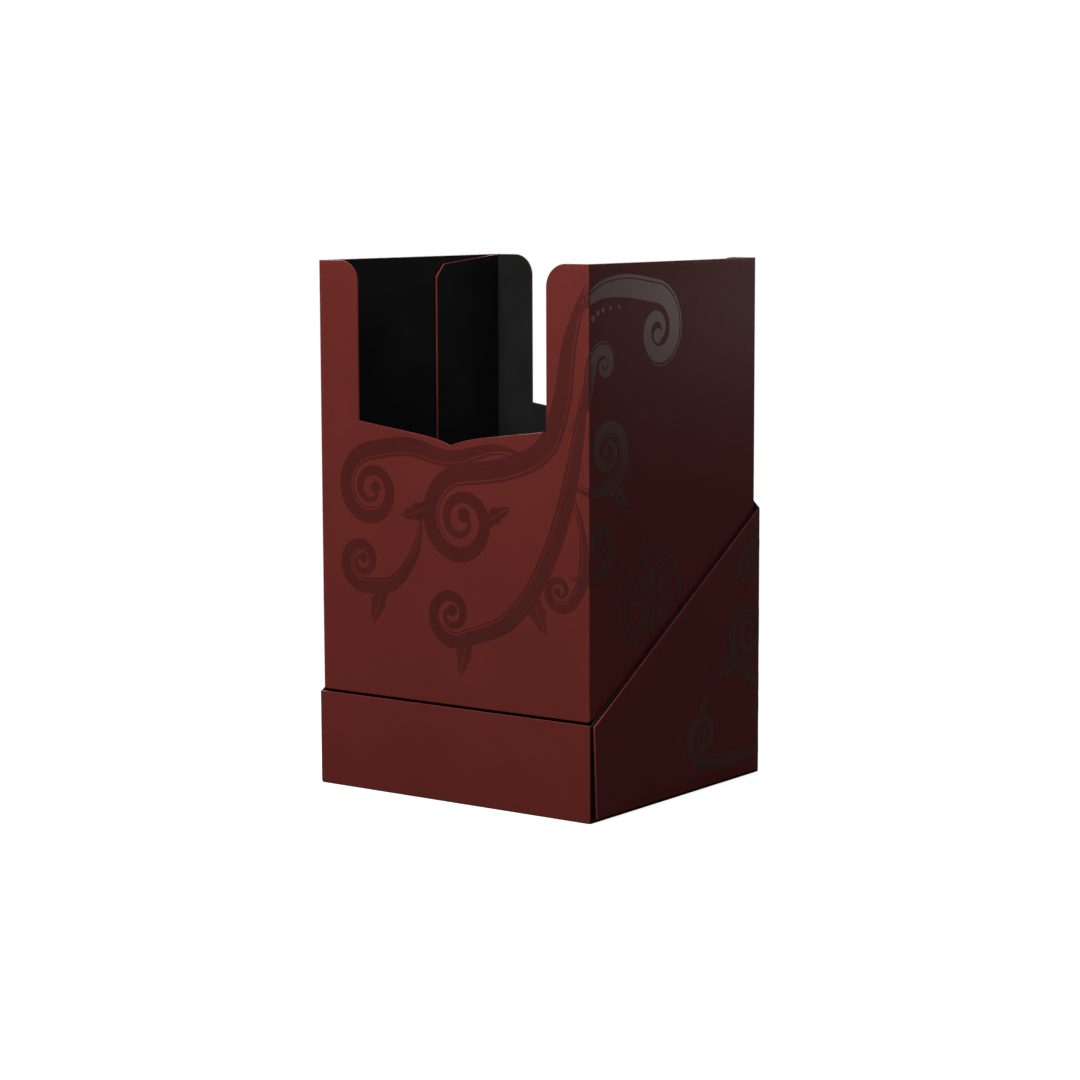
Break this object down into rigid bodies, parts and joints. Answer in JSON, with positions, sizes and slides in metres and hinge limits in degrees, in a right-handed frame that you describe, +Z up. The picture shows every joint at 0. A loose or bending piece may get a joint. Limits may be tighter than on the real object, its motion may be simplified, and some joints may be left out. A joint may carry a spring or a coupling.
{
  "type": "card deck box",
  "caption": "Open card box with finger cut-outs front and back, standing in a slanted outer shell that slides over it and also serves as its lid.",
  "frame": {"origin": "middle of the shell's underside, on the surface that the box stands on", "axes": "+Z up and along the tray's slide; -Y is the front with the shell's low wall; +X is the right side"},
  "size_m": [0.077, 0.0674, 0.1199],
  "materials": {
    "red_sheet": "matte dark red outside with a faint satin scroll print, black inside",
    "black_sheet": "matte black",
    "adhesive": "clear satin"
  },
  "bodies": {
    "shell": {"shell_front_panel": "red_sheet", "shell_back_panel": "red_sheet", "shell_bottom_panel": "red_sheet", "shell_left_wing": "red_sheet", "shell_right_wing": "red_sheet", "shell_front_left_flap": "black_sheet", "shell_front_right_flap": "black_sheet", "shell_bottom_left_flap": "black_sheet", "shell_bottom_right_flap": "black_sheet", "shell_front_left_glue": "adhesive", "shell_front_right_glue": "adhesive", "shell_bottom_left_glue": "adhesive", "shell_bottom_right_glue": "adhesive"},
    "card_tray": {"tray_front_panel": "red_sheet", "tray_back_panel": "red_sheet", "tray_bottom_panel": "red_sheet", "tray_left_wing": "red_sheet", "tray_right_wing": "red_sheet", "tray_back_left_flap": "black_sheet", "tray_back_right_flap": "black_sheet", "tray_bottom_left_flap": "black_sheet", "tray_bottom_right_flap": "black_sheet", "tray_back_left_glue": "adhesive", "tray_back_right_glue": "adhesive", "tray_bottom_left_glue": "adhesive", "tray_bottom_right_glue": "adhesive"}
  },
  "joints": [
    {"name": "tray_slide", "type": "slide", "parent": "shell", "child": "card_tray", "axis": [0, 0, 1], "range_m": [-0.0213, 0.0457]}
  ]
}
